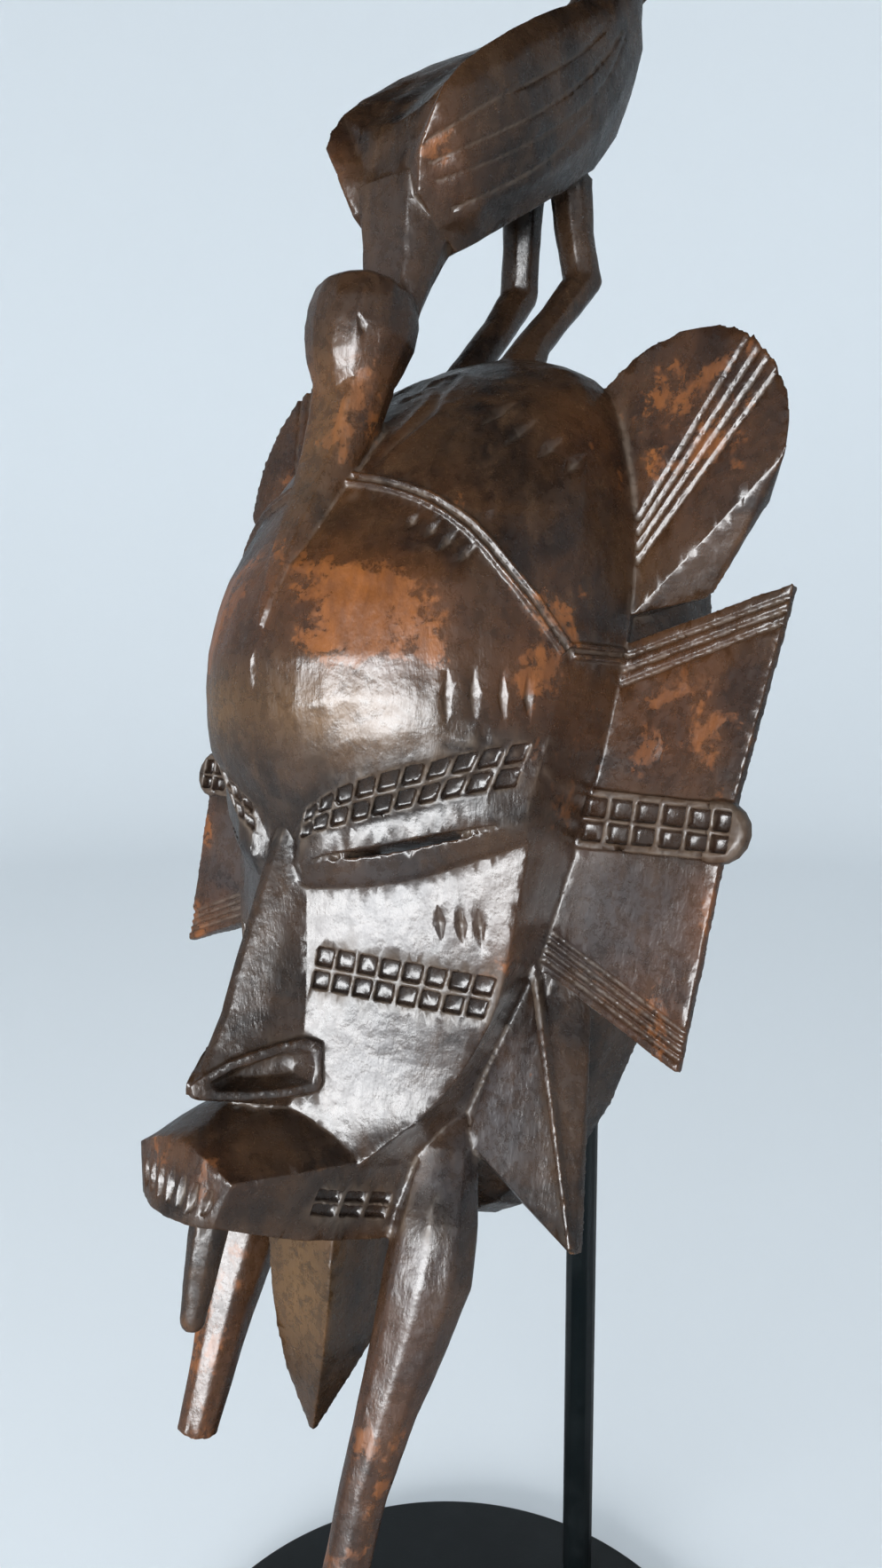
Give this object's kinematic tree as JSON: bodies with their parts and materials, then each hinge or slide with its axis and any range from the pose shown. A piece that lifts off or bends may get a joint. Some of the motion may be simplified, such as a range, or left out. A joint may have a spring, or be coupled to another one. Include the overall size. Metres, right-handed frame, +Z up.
{
  "type": "senufo kpelie mask",
  "caption": "Carved wooden face mask with side wings, horn lobes and a crest bird, hung on a black rod that stands in a round plate.",
  "frame": {"origin": "centre of the base plate's underside", "axes": "+Z up, -Y the way the face looks, +X to the mask's left"},
  "size_m": [0.1908, 0.1769, 0.5113],
  "materials": {
    "carved_wood": "very dark brown stained wood, rubbed to a soft gloss, orange-brown where worn",
    "black_metal": "satin black"
  },
  "bodies": {
    "root": {"carved_mask": "carved_wood", "stand_rod": "black_metal", "stand_disc": "black_metal"}
  },
  "joints": []
}
